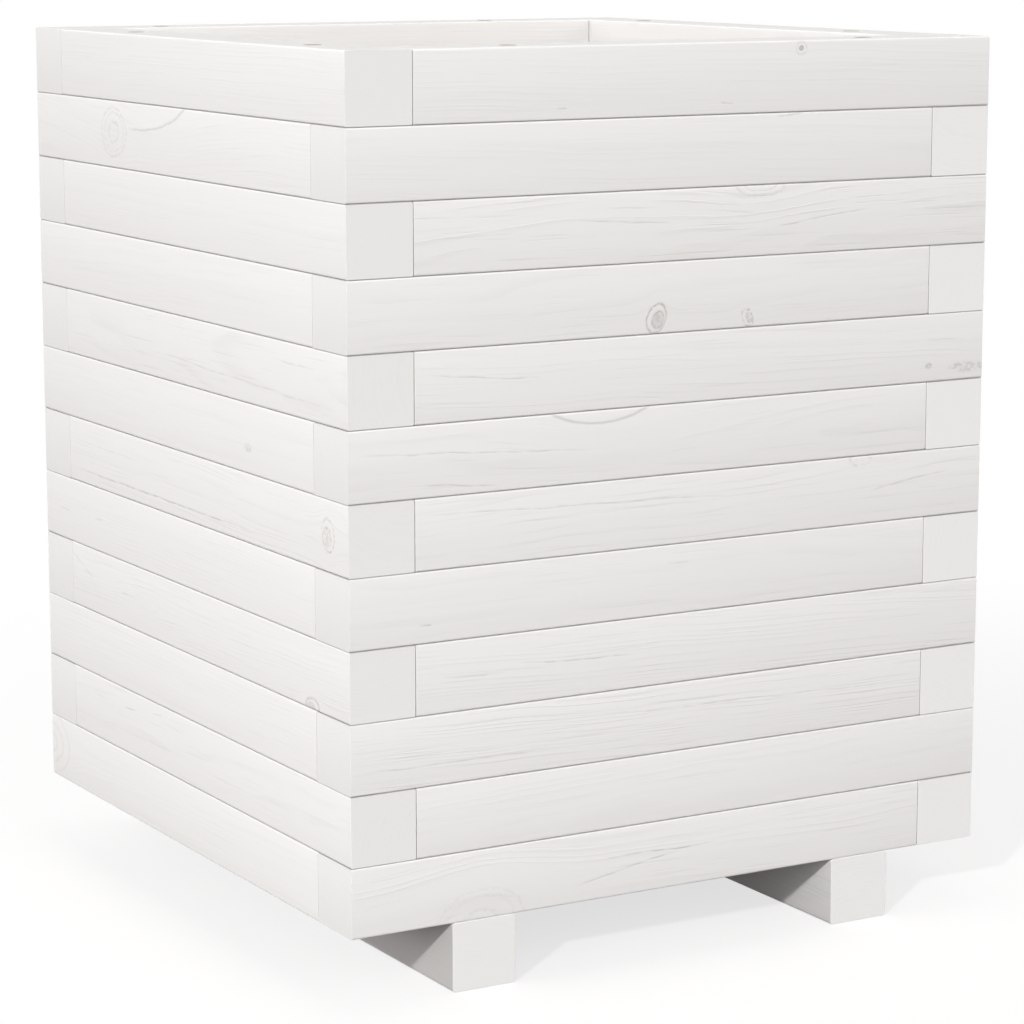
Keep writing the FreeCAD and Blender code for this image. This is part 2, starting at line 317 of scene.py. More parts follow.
# %% Knots and the grain that flows round them
RIM_WIDTH_MM = 0.7
CORE_SHIFT = (-0.22, 0.0, 0.08)
CORE_RADIUS = 0.55
CORE_SOLID_RADIUS = 0.4
CORE_EDGE_WIDTH = 0.12
CORE_FILL = 0.75
PULL_IN_THE_MIDDLE = 0.8
PULL_FADES = 0.4
RIM_CALMED = 0.8
bent_up = up
knot_marks = []
for number in (1, 2):
    place, reach = own[f"knot_{number}_place"], own[f"knot_{number}_size"]
    _, lean, middle_height = add(figure, "SeparateXYZ", {0: place}).outputs
    _, core, half_high = add(figure, "SeparateXYZ", {0: reach}).outputs
    strength, ring_count, whole = add(figure, "SeparateXYZ", {
        0: own[f"knot_{number}_kind"]}).outputs

    knot_middle = add(figure, "VectorMath", {0: place, 1: (1, 0, 1)}, operation="MULTIPLY")
    # The wholer a knot is, the less its rim wanders
    unrest = add(figure, "Math", {0: whole, 1: -RIM_CALMED, 2: 1.0}, operation="MULTIPLY_ADD")
    shift = add(figure, "VectorMath", {0: knot_shift, "Scale": unrest}, operation="SCALE")
    step = add(figure, "VectorMath", {0: face_point, 1: shift}, operation="ADD")
    step = add(figure, "VectorMath", {0: step, 1: knot_middle}, operation="SUBTRACT")
    step = add(figure, "VectorRotate", {"Vector": step, "Angle": lean},
               rotation_type="Y_AXIS", invert=True)
    step = add(figure, "VectorMath", {0: step, 1: reach}, operation="DIVIDE")
    step = add(figure, "VectorMath", {0: step, 1: (1, 0, 1)}, operation="MULTIPLY")
    radii = add(figure, "VectorMath", {0: step}, operation="LENGTH").outputs["Value"]

    # The pull fades with the square of the distance, to almost nothing at 3 radii
    square = add(figure, "Math", {0: radii, 1: radii}, operation="MULTIPLY")
    fade = add(figure, "Math", {0: square, 1: -PULL_FADES}, operation="MULTIPLY")
    fade = add(figure, "Math", {0: fade}, operation="EXPONENT")
    pull = add(figure, "Math", {0: fade, 1: PULL_IN_THE_MIDDLE}, operation="MULTIPLY")
    above = add(figure, "Math", {0: bent_up, 1: middle_height}, operation="SUBTRACT")
    pulled = add(figure, "Math", {0: above, 1: pull}, operation="MULTIPLY")
    bent_up = add(figure, "Math", {0: bent_up, 1: pulled}, operation="SUBTRACT").outputs[0]

    # The rim and the branch's own rings, broken into dashes unless the knot is whole
    rim_width = add(figure, "Math", {0: RIM_WIDTH_MM, 1: half_high}, operation="DIVIDE")
    rim = soft_line(radii, 1.0, rim_width)
    halved = add(figure, "Math", {0: core, 1: -0.5}, operation="LESS_THAN")
    nearer = add(figure, "SeparateXYZ", {0: step}).outputs[0]
    nearer = add(figure, "MapRange", {"Value": nearer, "From Min": 0.15, "From Max": 0.0})
    shown = add(figure, "Mix", {"Factor": halved, 2: 1.0, 3: nearer})
    rim = add(figure, "Math", {0: rim, 1: shown}, operation="MULTIPLY")
    turns = add(figure, "Math", {0: radii, 1: ring_count}, operation="MULTIPLY")
    turns = add(figure, "Math", {0: turns, 1: 2 * math.pi}, operation="MULTIPLY")
    waves = add(figure, "Math", {0: turns}, operation="COSINE")
    waves = add(figure, "MapRange", {"Value": waves, "From Min": 0.1, "From Max": 1.0})
    inside = add(figure, "MapRange", {
        "Value": radii, "From Min": 0.7, "From Max": 0.95, "To Min": 1.0, "To Max": 0.0})
    has_rings = add(figure, "Math", {0: ring_count, 1: 0.1}, operation="GREATER_THAN")
    for part in (inside, has_rings):
        waves = add(figure, "Math", {0: waves, 1: part}, operation="MULTIPLY")
    mark = add(figure, "Math", {0: rim, 1: waves}, operation="MAXIMUM")
    unbroken = add(figure, "Mix", {"Factor": whole, 2: dashes, 3: 1.0})
    mark = add(figure, "Math", {0: mark, 1: unbroken}, operation="MULTIPLY")

    # The core lies to one side: a filled spot with a darker edge
    core_step = add(figure, "VectorMath", {0: step, 1: CORE_SHIFT}, operation="ADD")
    core_radii = add(figure, "VectorMath", {0: core_step}, operation="LENGTH").outputs["Value"]
    core_edge = soft_line(core_radii, CORE_RADIUS, CORE_EDGE_WIDTH)
    core_fill = add(figure, "MapRange", {
        "Value": core_radii, "From Min": CORE_SOLID_RADIUS, "From Max": CORE_RADIUS,
        "To Min": CORE_FILL, "To Max": 0.0})
    core_mark = add(figure, "Math", {0: core_edge, 1: core_fill}, operation="MAXIMUM")
    core_mark = add(figure, "Math", {0: core_mark, 1: unbroken}, operation="MULTIPLY")
    core_mark = add(figure, "Math", {0: core_mark, 1: core}, operation="MULTIPLY", use_clamp=True)
    mark = add(figure, "Math", {0: mark, 1: core_mark}, operation="MAXIMUM")
    knot_marks.append(add(figure, "Math", {0: mark, 1: strength}, operation="MULTIPLY"))
knot = add(figure, "Math", {0: knot_marks[0], 1: knot_marks[1]}, operation="MAXIMUM")
print(len(figure.nodes), "nodes so far")

# %% [markdown]
# The single lines are drawn the same way, by the distance from the stretch between their two
# points. They thin out towards their ends, slow noise along the timber makes them wander by
# about a millimetre, and a quicker one makes them darker and paler.

# %% Splits and single lines
LINE_HALF_WIDTH_MM = 0.48
LINE_WANDER_MM = 2.4
LINE_WAVE_MM = 42.0
LINE_PALER_MM = 12.0


def noise_along(length, detail):
    """Noise that changes only along the timber, over about this length in millimetres."""
    place = add(figure, "Math", {0: along, 1: 1 / length, 2: own["seed"]}, operation="MULTIPLY_ADD")
    return add(figure, "TexNoise", {"W": place, "Scale": 1.0, "Detail": detail},
               noise_dimensions="1D")


wander = noise_along(LINE_WAVE_MM, 2.0)
wander = add(figure, "Math", {0: wander, 1: LINE_WANDER_MM, 2: -LINE_WANDER_MM / 2},
             operation="MULTIPLY_ADD")
wandering_up = add(figure, "Math", {0: up, 1: wander}, operation="ADD")
line_point = add(figure, "CombineXYZ", {0: along, 2: wandering_up})
paler = noise_along(LINE_PALER_MM, 1.0)
paler = add(figure, "MapRange", {"Value": paler, "From Min": 0.35, "From Max": 0.62, "To Min": 0.35})

line_marks = []
for number in (1, 2):
    line_from, line_to = own[f"line_{number}_from"], own[f"line_{number}_to"]
    strength = add(figure, "SeparateXYZ", {0: line_to}).outputs[1]
    whole_line = add(figure, "VectorMath", {0: line_to, 1: line_from}, operation="SUBTRACT")
    whole_line = add(figure, "VectorMath", {0: whole_line, 1: (1, 0, 1)}, operation="MULTIPLY")
    to_point = add(figure, "VectorMath", {0: line_point, 1: line_from}, operation="SUBTRACT")
    covered = add(figure, "VectorMath", {0: to_point, 1: whole_line},
                  operation="DOT_PRODUCT").outputs["Value"]
    squared = add(figure, "VectorMath", {0: whole_line, 1: whole_line},
                  operation="DOT_PRODUCT").outputs["Value"]
    share = add(figure, "Math", {0: covered, 1: squared}, operation="DIVIDE", use_clamp=True)
    nearest = add(figure, "VectorMath", {0: whole_line, "Scale": share}, operation="SCALE")
    away = add(figure, "VectorMath", {0: to_point, 1: nearest}, operation="DISTANCE")
    line_mark = soft_line(away.outputs["Value"], 0.0, LINE_HALF_WIDTH_MM)
    from_end = add(figure, "Math", {0: share, 1: 0.5}, operation="PINGPONG")
    tapered = add(figure, "MapRange", {"Value": from_end, "From Max": 0.2})
    for part in (tapered, paler, strength):
        line_mark = add(figure, "Math", {0: line_mark, 1: part}, operation="MULTIPLY")
    line_marks.append(line_mark)
line = add(figure, "Math", {0: line_marks[0], 1: line_marks[1]}, operation="MAXIMUM")
knot = add(figure, "Math", {0: knot, 1: line}, operation="MAXIMUM")
print(len(figure.nodes), "nodes so far")

# %% [markdown]
# Now the growth rings. A point's distance from the pith, divided by the ring width, counts the
# years, and the fraction left over says how far through its year the point is. Pine darkens
# slowly from the pale spring wood to the hard latewood, and then starts pale again at a sharp
# line. The pith isn't straight, so slow noise sways it, and the years aren't alike, so a noise
# along the count makes some wider than others.

# %% Growth rings
PITH_SWAY_MM = 9.0
PITH_SWAY_LENGTH_MM = 130.0
PITH_SWAY_WIDTH_MM = 55.0
YEARS_ALIKE_MM = 9.0
YEARS_UNEVEN = 2.6
FADE_LENGTH_MM = 60.0
FADE_WIDTH_MM = 9.0

bent_point = add(figure, "CombineXYZ", {0: along, 1: across, 2: bent_up})


def timber_noise(length, width, scale, detail):
    """Noise stretched along the timber, in millimetres, and unlike from timber to timber."""
    cloud_point = add(figure, "VectorMath", {
        0: bent_point, 1: (1 / length, 1 / width, 1 / width)}, operation="MULTIPLY")
    return add(figure, "TexNoise", {
        "Vector": cloud_point, "W": own["seed"], "Scale": scale, "Detail": detail},
        noise_dimensions="4D")


sway = timber_noise(PITH_SWAY_LENGTH_MM, PITH_SWAY_WIDTH_MM, 1.0, 2.0)
sway = add(figure, "VectorMath", {0: sway.outputs["Color"], 1: (0.5, 0.5, 0.5)},
           operation="SUBTRACT")
sway = add(figure, "VectorMath", {0: sway, "Scale": PITH_SWAY_MM}, operation="SCALE")
leaning = add(figure, "VectorMath", {0: own["lean"], "Scale": along}, operation="SCALE")
from_pith = bent_point
for step, by in (("SUBTRACT", own["pith"]), ("SUBTRACT", leaning), ("ADD", sway),
                 ("MULTIPLY", (0, 1, 1))):
    from_pith = add(figure, "VectorMath", {0: from_pith, 1: by}, operation=step)
radius = add(figure, "VectorMath", {0: from_pith}, operation="LENGTH").outputs["Value"]

year_place = add(figure, "Math", {0: radius, 1: 1 / YEARS_ALIKE_MM}, operation="MULTIPLY")
year_place = add(figure, "Math", {0: year_place, 1: own["seed"]}, operation="ADD")
good_years = add(figure, "TexNoise", {"W": year_place, "Scale": 1.0, "Detail": 1.0},
                 noise_dimensions="1D")
years = add(figure, "Math", {0: radius, 1: own["ring_width"]}, operation="DIVIDE")
uneven = add(figure, "Math", {0: good_years, 1: YEARS_UNEVEN}, operation="MULTIPLY")
years = add(figure, "Math", {0: years, 1: uneven}, operation="ADD")
season = add(figure, "Math", {0: years}, operation="FRACT")
darkening = add(figure, "MapRange", {
    "Value": season, "From Min": 0.45, "From Max": 0.90}, interpolation_type="SMOOTHSTEP")
year_end = add(figure, "MapRange", {
    "Value": season, "From Min": 0.93, "From Max": 1.0, "To Min": 1.0, "To Max": 0.0})
latewood = add(figure, "Math", {0: darkening, 1: year_end}, operation="MULTIPLY")

# Under paint a ring line comes and goes along the beam
fade = timber_noise(FADE_LENGTH_MM, FADE_WIDTH_MM, 1.0, 1.0)
fade = add(figure, "MapRange", {
    "Value": fade, "From Min": 0.38, "From Max": 0.66, "To Min": 0.12},
    interpolation_type="SMOOTHSTEP")
for part in (fade, own["figure_shows"]):
    latewood = add(figure, "Math", {0: latewood, 1: part}, operation="MULTIPLY")
print(len(figure.nodes), "nodes so far")

# %% [markdown]
# Between the rings run the fibres. In pine they are 0.03 mm wide, far too fine to see, but the
# plane tears out small bundles of them, and those short dark strokes show through the paint. They
# are noise stretched along the timber. Here they are drawn 0.7 mm wide, about one pixel of the
# picture: coarser than real, so that they show.

# %% Torn fibres and soft streaks
STROKE_WIDTH_MM = 0.7
STROKE_LENGTH_MM = 26.0
STREAK_WIDTH_MM = 4.0
STREAK_LENGTH_MM = 110.0

stroke = timber_noise(STROKE_LENGTH_MM, STROKE_WIDTH_MM, 0.5, 2.0)
strokes = add(figure, "MapRange", {
    "Value": stroke, "From Min": 0.57, "From Max": 0.74}, interpolation_type="SMOOTHSTEP")
strokes = add(figure, "Math", {0: strokes, 1: own["figure_shows"]}, operation="MULTIPLY")
streak = timber_noise(STREAK_LENGTH_MM, STREAK_WIDTH_MM, 0.5, 2.0)
end_grain = add(figure, "MapRange", {"Value": faces_along, "From Min": 0.7, "From Max": 0.9})
upright = add(figure, "MapRange", {"Value": faces_across, "From Min": 0.75, "From Max": 0.95})
level = add(figure, "Math", {0: up, 1: own["half_height"]}, operation="DIVIDE")
# Where the painted shade towards the lower arris lies: upright faces and some ends
shaded_below = add(figure, "Math", {0: end_grain, 1: own["ends_thin_below"], 2: upright},
                  operation="MULTIPLY_ADD")
print(len(figure.nodes), "nodes so far")

# %% [markdown]
# The group works out how much the paint is darkened. By the timber's own numbers, a painted shade
# lies on its outer and inner sides and the paint is thinner on its ends; a painted shade grows along
# the timber towards its right or back end, away from the lamp; and another lies on the faces that
# lie flat. It also finds the last half millimetre before a joint, which gets a painted shade, and
# the drilled holes, where the bare wood is darkened with painted shade.

# %% Painted shade, thin paint on the ends, and bare holes
# Painted shade that grows along each timber, away from the lamp
SHADE_ALONG_TIMBER = 0.064
# Painted shade on the faces that lie flat
SHADE_ON_FLAT_FACES = 0.13
# How far either side of a timber's middle the painted shade along it runs
SHADE_ALONG_REACH_MM = 180.0
# Painted shade before a joint: full up to the first distance, gone from the second
JOINT_SHADE_FULL_TO_MM = 0.15
JOINT_SHADE_ENDS_AT_MM = 0.5
HOLE_REACH_MM = 6.0
HOLES_WITHIN_MM = 150.0
HALF_HOLE_DEPTH_MM = 5.6
TOP_SKIN_MM = 0.02

# Which faces look away from the planter's middle, and which look inwards
outwards = add(figure, "VectorMath", {0: coordinates["Object"], 1: (1, 1, 0)}, operation="MULTIPLY")
outwards = add(figure, "VectorMath", {0: outwards, 1: coordinates["Normal"]},
               operation="DOT_PRODUCT").outputs["Value"]
inwards = add(figure, "Math", {0: outwards, 1: 0.0}, operation="LESS_THAN")
on_sides, on_inside, on_ends = add(figure, "SeparateXYZ", {0: own["missing_paint"]}).outputs
sides = add(figure, "Mix", {"Factor": inwards, 2: on_sides, 3: on_inside})
# Painted shade, darker along the timber towards its right or back end, away from the lamp
towards_end = add(figure, "MapRange", {
    "Value": along, "From Min": -SHADE_ALONG_REACH_MM, "From Max": SHADE_ALONG_REACH_MM,
    "To Max": SHADE_ALONG_TIMBER})
sides = add(figure, "Math", {0: sides, 1: towards_end}, operation="ADD")
sides = add(figure, "Math", {0: sides, 1: upright}, operation="MULTIPLY")
# Painted shade on the sides, plus the thinner paint on the ends
shade_and_lost_paint = add(figure, "Math", {0: on_ends, 1: end_grain, 2: sides}, operation="MULTIPLY_ADD")
# Painted shade on the flat tops and undersides
lying = add(figure, "MapRange", {
    "Value": faces_up, "From Min": 0.97, "From Max": 1.0, "To Max": SHADE_ON_FLAT_FACES})
shade_and_lost_paint = add(figure, "Math", {0: shade_and_lost_paint, 1: lying}, operation="ADD")

# Painted shade in the last half millimetre before a joint
seam = []
for joined, way in (("joint_above", 1.0), ("joint_below", -1.0)):
    near = add(figure, "Math", {0: up, 1: way}, operation="MULTIPLY")
    near = add(figure, "Math", {0: own["half_height"], 1: near}, operation="SUBTRACT")
    near = add(figure, "MapRange", {
        "Value": near, "From Min": JOINT_SHADE_FULL_TO_MM, "From Max": JOINT_SHADE_ENDS_AT_MM,
        "To Min": 1.0, "To Max": 0.0})
    seam.append(add(figure, "Math", {0: near, 1: own[joined]}, operation="MULTIPLY"))
seam = add(figure, "Math", {0: seam[0], 1: seam[1]}, operation="MAXIMUM")

# The holes were drilled last, so the wood is bare in them, and its colour is darkened with
# painted shade. They are all that lies near a wall beam's centreline, under its top and well away
# from its ends
drilled = add(figure, "Math", {0: across, 1: 0.0, 2: HOLE_REACH_MM}, operation="COMPARE")
middle_part = add(figure, "Math", {0: along, 1: 0.0, 2: HOLES_WITHIN_MM}, operation="COMPARE")
under_top = add(figure, "Math", {0: own["half_height"], 1: up}, operation="SUBTRACT")
under_top = add(figure, "Math", {
    0: under_top, 1: HALF_HOLE_DEPTH_MM + TOP_SKIN_MM, 2: HALF_HOLE_DEPTH_MM}, operation="COMPARE")
for part in (middle_part, under_top):
    drilled = add(figure, "Math", {0: drilled, 1: part}, operation="MULTIPLY")
print(len(figure.nodes), "nodes so far")

# %% [markdown]
# Paint doesn't fill the wood's relief. The hard latewood stands proud of the spring wood by a few
# hundredths of a millimetre, and torn fibres, splits and the rims of knots lie low. The heights
# are summed here in millimetres, and a bump node in the paint will read them.

# %% The relief, and what the group gives
LATEWOOD_RIDGE_MM = 0.045
STROKE_PIT_MM = 0.035
MARK_GROOVE_MM = 0.35
ridge = add(figure, "Math", {0: latewood, 1: LATEWOOD_RIDGE_MM}, operation="MULTIPLY")
pit = add(figure, "Math", {0: strokes, 1: -STROKE_PIT_MM}, operation="MULTIPLY")
groove = add(figure, "Math", {0: knot, 1: -MARK_GROOVE_MM}, operation="MULTIPLY")
relief = add(figure, "Math", {0: ridge, 1: pit}, operation="ADD")
relief = add(figure, "Math", {0: relief, 1: groove}, operation="ADD")
flatter = add(figure, "MapRange", {"Value": end_grain, "To Min": 1.0, "To Max": 0.3})
relief = add(figure, "Math", {0: relief, 1: flatter}, operation="MULTIPLY")

results = {"Latewood": latewood, "Strokes": strokes, "Streak": streak.outputs[0], "Knot": knot,
           "Relief": relief, "End grain": end_grain, "Shaded below": shaded_below,
           "Level": level, "Seam": seam, "Drilled": drilled, "Shade and lost paint": shade_and_lost_paint}
for name in results:
    figure.interface.new_socket(name, in_out="OUTPUT", socket_type="NodeSocketFloat")
add(figure, "NodeGroupOutput", results)
print("pine_figure has", len(figure.nodes), "nodes and gives", list(results))

# %% [markdown]
# ## White paint on planed pine
# The walls and feet are planed pine under an opaque white acrylic paint with a satin sheen. The
# paint hides the wood's colour but not its surface: the latewood lines, torn fibres and knots show
# as lines that are a touch darker and slightly raised or sunk. An acrylic film has an IOR of
# about 1.5, and a satin one a roughness of about 0.55. On the upright faces a painted shade makes
# the paint a little greyer from the upper arris towards the lower one. End grain drinks paint, so
# it looks even there, with faint rings.

# %% Painted pine
PAINT = "#F4F2F0"
PAINT_ON_END_GRAIN = "#EFEDEB"
PAINT_OVER_LATEWOOD = "#D9D5D2"
PAINT_OVER_KNOT = "#9F9892"
# Painted shade, which also stands for the thinner paint on the ends
SHADE_AND_THIN_PAINT = "#655A5A"
# Bare pine in the drilled holes, darkened with painted shade
BARE_PINE_IN_HOLE_SHADE = "#94866F"
# Painted shade in the joints
JOINT_SHADE = "#B6B3B3"
LATEWOOD_SHOWS = 0.12
STROKES_SHOW = 0.15
STREAKS_SHOW = 0.08
END_RINGS_SHOW = 0.06
# Painted shade that greys the upright faces towards their lower arris
SHADE_AT_LOWER_ARRIS = 0.125


def painted_pine(name, paint, over_latewood, over_knot, film):
    """Material of paint on pine. The film says how much of the wood it lets through."""
    material = blank_material(name)
    tree = material.node_tree
    wood = add(tree, "Group", node_tree=figure).outputs
    side = add(tree, "Math", {0: 1.0, 1: wood["End grain"]}, operation="SUBTRACT")

    lines = add(tree, "Math", {0: wood["Latewood"], 1: LATEWOOD_SHOWS * film}, operation="MULTIPLY")
    lines = add(tree, "Math", {0: wood["Strokes"], 1: STROKES_SHOW * film, 2: lines},
                operation="MULTIPLY_ADD")
    soft = add(tree, "MapRange", {
        "Value": wood["Streak"], "From Min": 0.35, "From Max": 0.7, "To Max": STREAKS_SHOW * film})
    lines = add(tree, "Math", {0: lines, 1: soft}, operation="ADD")
    lines = add(tree, "Math", {0: lines, 1: side}, operation="MULTIPLY")
    knotted = add(tree, "Math", {0: wood["Knot"], 1: side}, operation="MULTIPLY")

    end_rings = add(tree, "Math", {0: wood["Latewood"], 1: wood["Strokes"]}, operation="ADD")
    end_rings = add(tree, "Math", {0: end_rings, 1: END_RINGS_SHOW * film}, operation="MULTIPLY")
    end_colour = add(tree, "Mix", {
        "Factor": end_rings, 6: linear(PAINT_ON_END_GRAIN), 7: linear(over_latewood)},
        data_type="RGBA")
    # Painted shade towards the lower arris, added to the group's painted shade and thin paint
    shade_and_thin = add(tree, "MapRange", {
        "Value": wood["Level"], "From Min": 1.0, "From Max": -1.0, "To Max": SHADE_AT_LOWER_ARRIS})
    shade_and_thin = add(tree, "Math", {0: shade_and_thin, 1: wood["Shaded below"], 2: wood["Shade and lost paint"]},
               operation="MULTIPLY_ADD")
    # Each tint covers its share of what lies under it. The last three are painted shade: with
    # thinner paint on the ends, in the joints, and over the bare wood of the holes
    colour = linear(paint)
    for share, tint in ((lines, linear(over_latewood)), (knotted, linear(over_knot)),
                        (wood["End grain"], end_colour.outputs[2]), (shade_and_thin, linear(SHADE_AND_THIN_PAINT)),
                        (wood["Seam"], linear(JOINT_SHADE)), (wood["Drilled"], linear(BARE_PINE_IN_HOLE_SHADE))):
        mixed = add(tree, "Mix", {"Factor": share, 6: colour, 7: tint}, data_type="RGBA")
        colour = mixed.outputs[2]

    gloss = add(tree, "MapRange", {"Value": wood["Latewood"], "To Min": 0.60, "To Max": 0.52})
    bump = add(tree, "Bump", {"Height": wood["Relief"], "Distance": MM})
    paint_film = add(tree, "BsdfPrincipled", {
        "Base Color": colour, "Roughness": gloss, "Normal": bump, "IOR": 1.5})
    add(tree, "OutputMaterial", {"Surface": paint_film})
    return material


wall_paint = painted_pine("white_satin_paint_on_planed_pine", PAINT, PAINT_OVER_LATEWOOD,
                          PAINT_OVER_KNOT, film=1.0)
print(wall_paint.name, "has", len(wall_paint.node_tree.nodes), "nodes")

# %% [markdown]
# The floor boards lie inside, out of sight under the soil. They got one thin coat of the same
# paint, so more of the wood's warmth and figure comes through.

# %% The floor boards' thin coat
floor_paint = painted_pine("thin_white_paint_on_sawn_pine", "#ECE8E1", "#CBBFAE", "#8F8272",
                           film=2.2)
for name, timber in timbers.items():
    is_board = name.startswith("floor_board")
    timber.material_slots[0].material = floor_paint if is_board else wall_paint
print(floor_paint.name, "is on", sum(n.startswith("floor_board") for n in timbers), "boards")

# %% [markdown]
# ## Softened ends
# A sawn end has a sharp edge, but a painter rubs it down before the first coat, and that edge
# catches the light beside every butt joint. A bevel of a third of a millimetre does it. The packed
# mesh has separate corners for each face, so a weld has to join them first. The bevel takes only
# the edges where faces meet at more than 60 degrees: the long arrises, already round, stay as they
# are.

# %% Weld and bevel every timber
END_BEVEL = 0.35 * MM
for timber in timbers.values():
    weld = timber.modifiers.new("join_corners", "WELD")
    weld.merge_threshold = 0.01 * MM
    bevel = timber.modifiers.new("rubbed_ends", "BEVEL")
    bevel.width = END_BEVEL
    bevel.segments = 2
    bevel.limit_method = "ANGLE"
    bevel.angle_limit = math.radians(60)
print("bevelled", len(timbers), "timbers by", END_BEVEL / MM, "mm")

# %% [markdown]
# ## The screws
# The beams are held by countersunk wood screws with a cross recess, sunk in counterbores. The
# packed screws have flat sides, which is enough to weigh and to collide. Here each one is built in
# full. The body is one skin of rings from the head to the point, and where the thread runs, its
# radius rises and falls with the height and with the way round, which winds a ridge up the shank.

# %% One screw, without its recess
SIDES = 18
ROWS_PER_TURN = 4
THREAD_DEPTH = 0.55 * MM
WAIST = 0.3 * MM
RIM_EASING = 0.15 * MM
RIM_HEIGHT = 0.35 * MM


def screw_body(length, head_radius, shank_radius, point, thread_from, pitch):
    """Closed screw, point down, with the middle of its head's top at the origin."""
    neck = head_radius - shank_radius
    waist_radius = shank_radius - WAIST
    rows = [(0.0, head_radius - RIM_EASING), (0.8 * RIM_EASING, head_radius),
            (RIM_HEIGHT, head_radius), (neck + RIM_HEIGHT, waist_radius),
            (thread_from, waist_radius)]
    steps = round((length - thread_from) / pitch * ROWS_PER_TURN)
    rows += [(thread_from + (length - thread_from) * i / steps, None) for i in range(1, steps)]
    mesh = bmesh.new()
    rings = []
    for depth, radius in rows:
        ring = []
        for side in range(SIDES):
            way = side / SIDES
            here = radius
            if here is None:
                taper = min(1.0, (length - depth) / point)
                ridge = 1 - abs(2 * ((depth / pitch - way) % 1) - 1)
                here = taper * (shank_radius - THREAD_DEPTH * (1 - max(0.0, 2 * ridge - 1)))
            ring.append(mesh.verts.new((here * math.cos(2 * math.pi * way),
                                        here * math.sin(2 * math.pi * way), -depth)))
        rings.append(ring)
    for upper, lower in zip(rings, rings[1:]):
        for side in range(SIDES):
            mesh.faces.new([upper[side - 1], lower[side - 1], lower[side], upper[side]])
    tip = mesh.verts.new((0, 0, -length))
    for side in range(SIDES):
        mesh.faces.new([rings[-1][side - 1], tip, rings[-1][side]])
    mesh.faces.new(rings[0])
    bmesh.ops.recalc_face_normals(mesh, faces=mesh.faces)
    return mesh


print("one thread ridge stands", THREAD_DEPTH / MM, "mm proud of its core")

# %% [markdown]
# The recess for the driver is cut with a boolean. Its cutter is a cross that gets smaller as it
# goes down, so the driver centres itself.

# %% The cross recess
def cross_cutter(reach, breadth, depth):
    """Tapered cross, from just above z = 0 down to the depth."""
    mesh = bmesh.new()
    rings = []
    for z, scale, width in ((0.2 * MM, 1.04, 1.02), (-depth, 0.42, 0.75)):
        long, half = reach * scale, breadth * width / 2
        outline = []
        for quarter in range(4):
            turn = Matrix.Rotation(quarter * math.pi / 2, 3, "Z")
            outline += [turn @ Vector(p) for p in ((half, -half, z), (long, -half, z),
                                                   (long, half, z))]
        rings.append([mesh.verts.new(p) for p in outline])
    count = len(rings[0])
    for i in range(count):
        mesh.faces.new([rings[0][i - 1], rings[1][i - 1], rings[1][i], rings[0][i]])
    mesh.faces.new(rings[0])
    mesh.faces.new(rings[1])
    bmesh.ops.recalc_face_normals(mesh, faces=mesh.faces)
    return mesh


def as_object(name, mesh):
    """Blender object of a bmesh, which is freed."""
    data = bpy.data.meshes.new(name)
    mesh.to_mesh(data)
    mesh.free()
    thing = bpy.data.objects.new(name, data)
    bpy.context.scene.collection.objects.link(thing)
    return thing


def screw_mesh(sizes, recess):
    """Mesh of a whole screw: the body with the cross recess cut out of its head."""
    body = as_object("screw_blank", screw_body(**sizes))
    cutter = as_object("recess_cutter", cross_cutter(**recess))
    cut = body.modifiers.new("recess", "BOOLEAN")
    cut.object = cutter
    cut.solver = "EXACT"
    ready = body.evaluated_get(bpy.context.evaluated_depsgraph_get())
    whole = bpy.data.meshes.new_from_object(ready)
    for spare in (body, cutter):
        bpy.data.objects.remove(spare)
    return whole


BEAM_SCREW = {"length": 60 * MM, "head_radius": 4.4 * MM, "shank_radius": 2.25 * MM,
              "point": 8 * MM, "thread_from": 22 * MM, "pitch": 2.8 * MM}
BEAM_SCREW_RECESS = {"reach": 2.5 * MM, "breadth": 1.1 * MM, "depth": 2.4 * MM}
BOARD_SCREW = {"length": 32 * MM, "head_radius": 4.0 * MM, "shank_radius": 2.0 * MM,
               "point": 6 * MM, "thread_from": 12 * MM, "pitch": 2.2 * MM}
BOARD_SCREW_RECESS = {"reach": 2.2 * MM, "breadth": 1.0 * MM, "depth": 2.0 * MM}
beam_screw = screw_mesh(BEAM_SCREW, BEAM_SCREW_RECESS)
board_screw = screw_mesh(BOARD_SCREW, BOARD_SCREW_RECESS)
print("a beam screw has", len(beam_screw.polygons), "faces, a board screw",
      len(board_screw.polygons))

# %% [markdown]
# ## Where the screws go
# Every beam above the lowest course has two, on its centre line: 72.5 mm from its free end and
# 65.5 mm from the end that butts against its neighbour. The courses turn right-handed and
# left-handed by turns, so the free end changes sides from course to course. Each screw stopped
# turning at some angle, so their crosses don't line up.

# %% Places of the screws
FREE_END_TO_HOLE = 72.5 * MM
BUTT_END_TO_HOLE = 65.5 * MM
COUNTERBORE_DEPTH = 10 * MM
HEAD_ABOVE_SEAT = 1 * MM
BOARD_SCREW_SINK = 0.4 * MM
FOOT_SIDE_TO_SCREW = 10 * MM
BEAM_WIDTH = 38 * MM
FREE_END_OF_EVEN_COURSE = {"front": 1, "right": 1, "back": -1, "left": -1}


def screw_place(x, y, z, head_up=True):
    """Matrix that puts a screw's head there, turned by chance about its own axis."""
    spin = Matrix.Rotation(draw.uniform(0, math.pi / 2), 4, "Z")
    flip = Matrix.Identity(4) if head_up else Matrix.Rotation(math.pi, 4, "X")
    return Matrix.Translation((x, y, z)) @ flip @ spin


